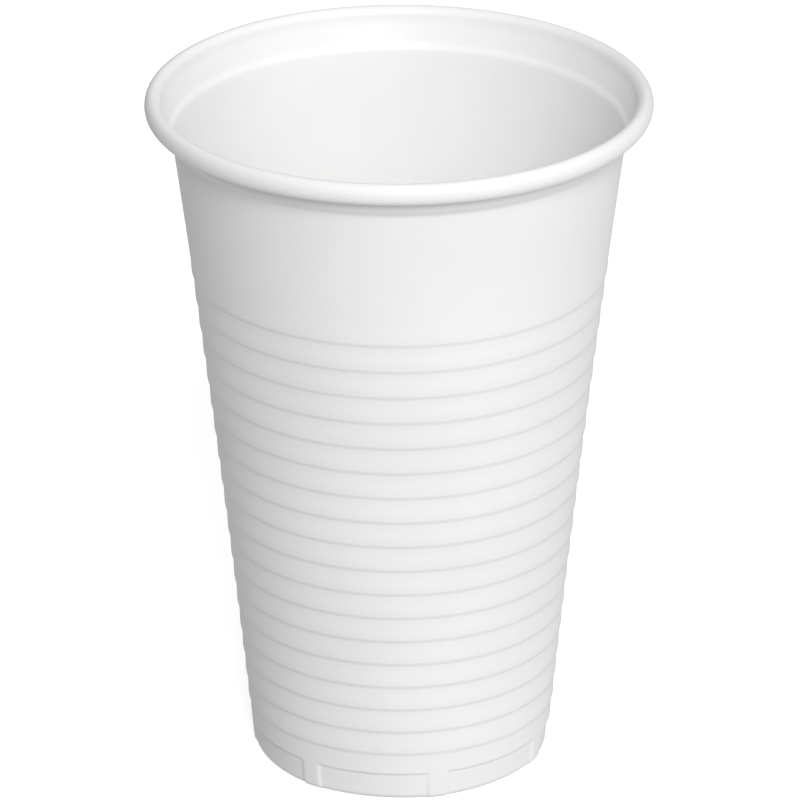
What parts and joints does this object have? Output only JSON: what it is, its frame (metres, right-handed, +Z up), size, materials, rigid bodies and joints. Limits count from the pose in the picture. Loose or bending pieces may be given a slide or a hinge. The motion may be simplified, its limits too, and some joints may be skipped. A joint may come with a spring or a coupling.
{
  "type": "plastic cup",
  "caption": "Tapered one-piece disposable drinking cup with a rolled rim, a smooth drinking band, a ringed wall and flat panels around the foot.",
  "frame": {"origin": "centre of the standing ring, on the surface that the cup stands on", "axes": "+Z up along the cup's axis, from the base to the rim; -Y is the side that faces the viewer"},
  "size_m": [0.0704, 0.0704, 0.0987],
  "materials": {
    "polystyrene": "glossy opaque white, slightly translucent where the sheet is thin"
  },
  "bodies": {
    "root": {"cup": "polystyrene"}
  },
  "joints": []
}
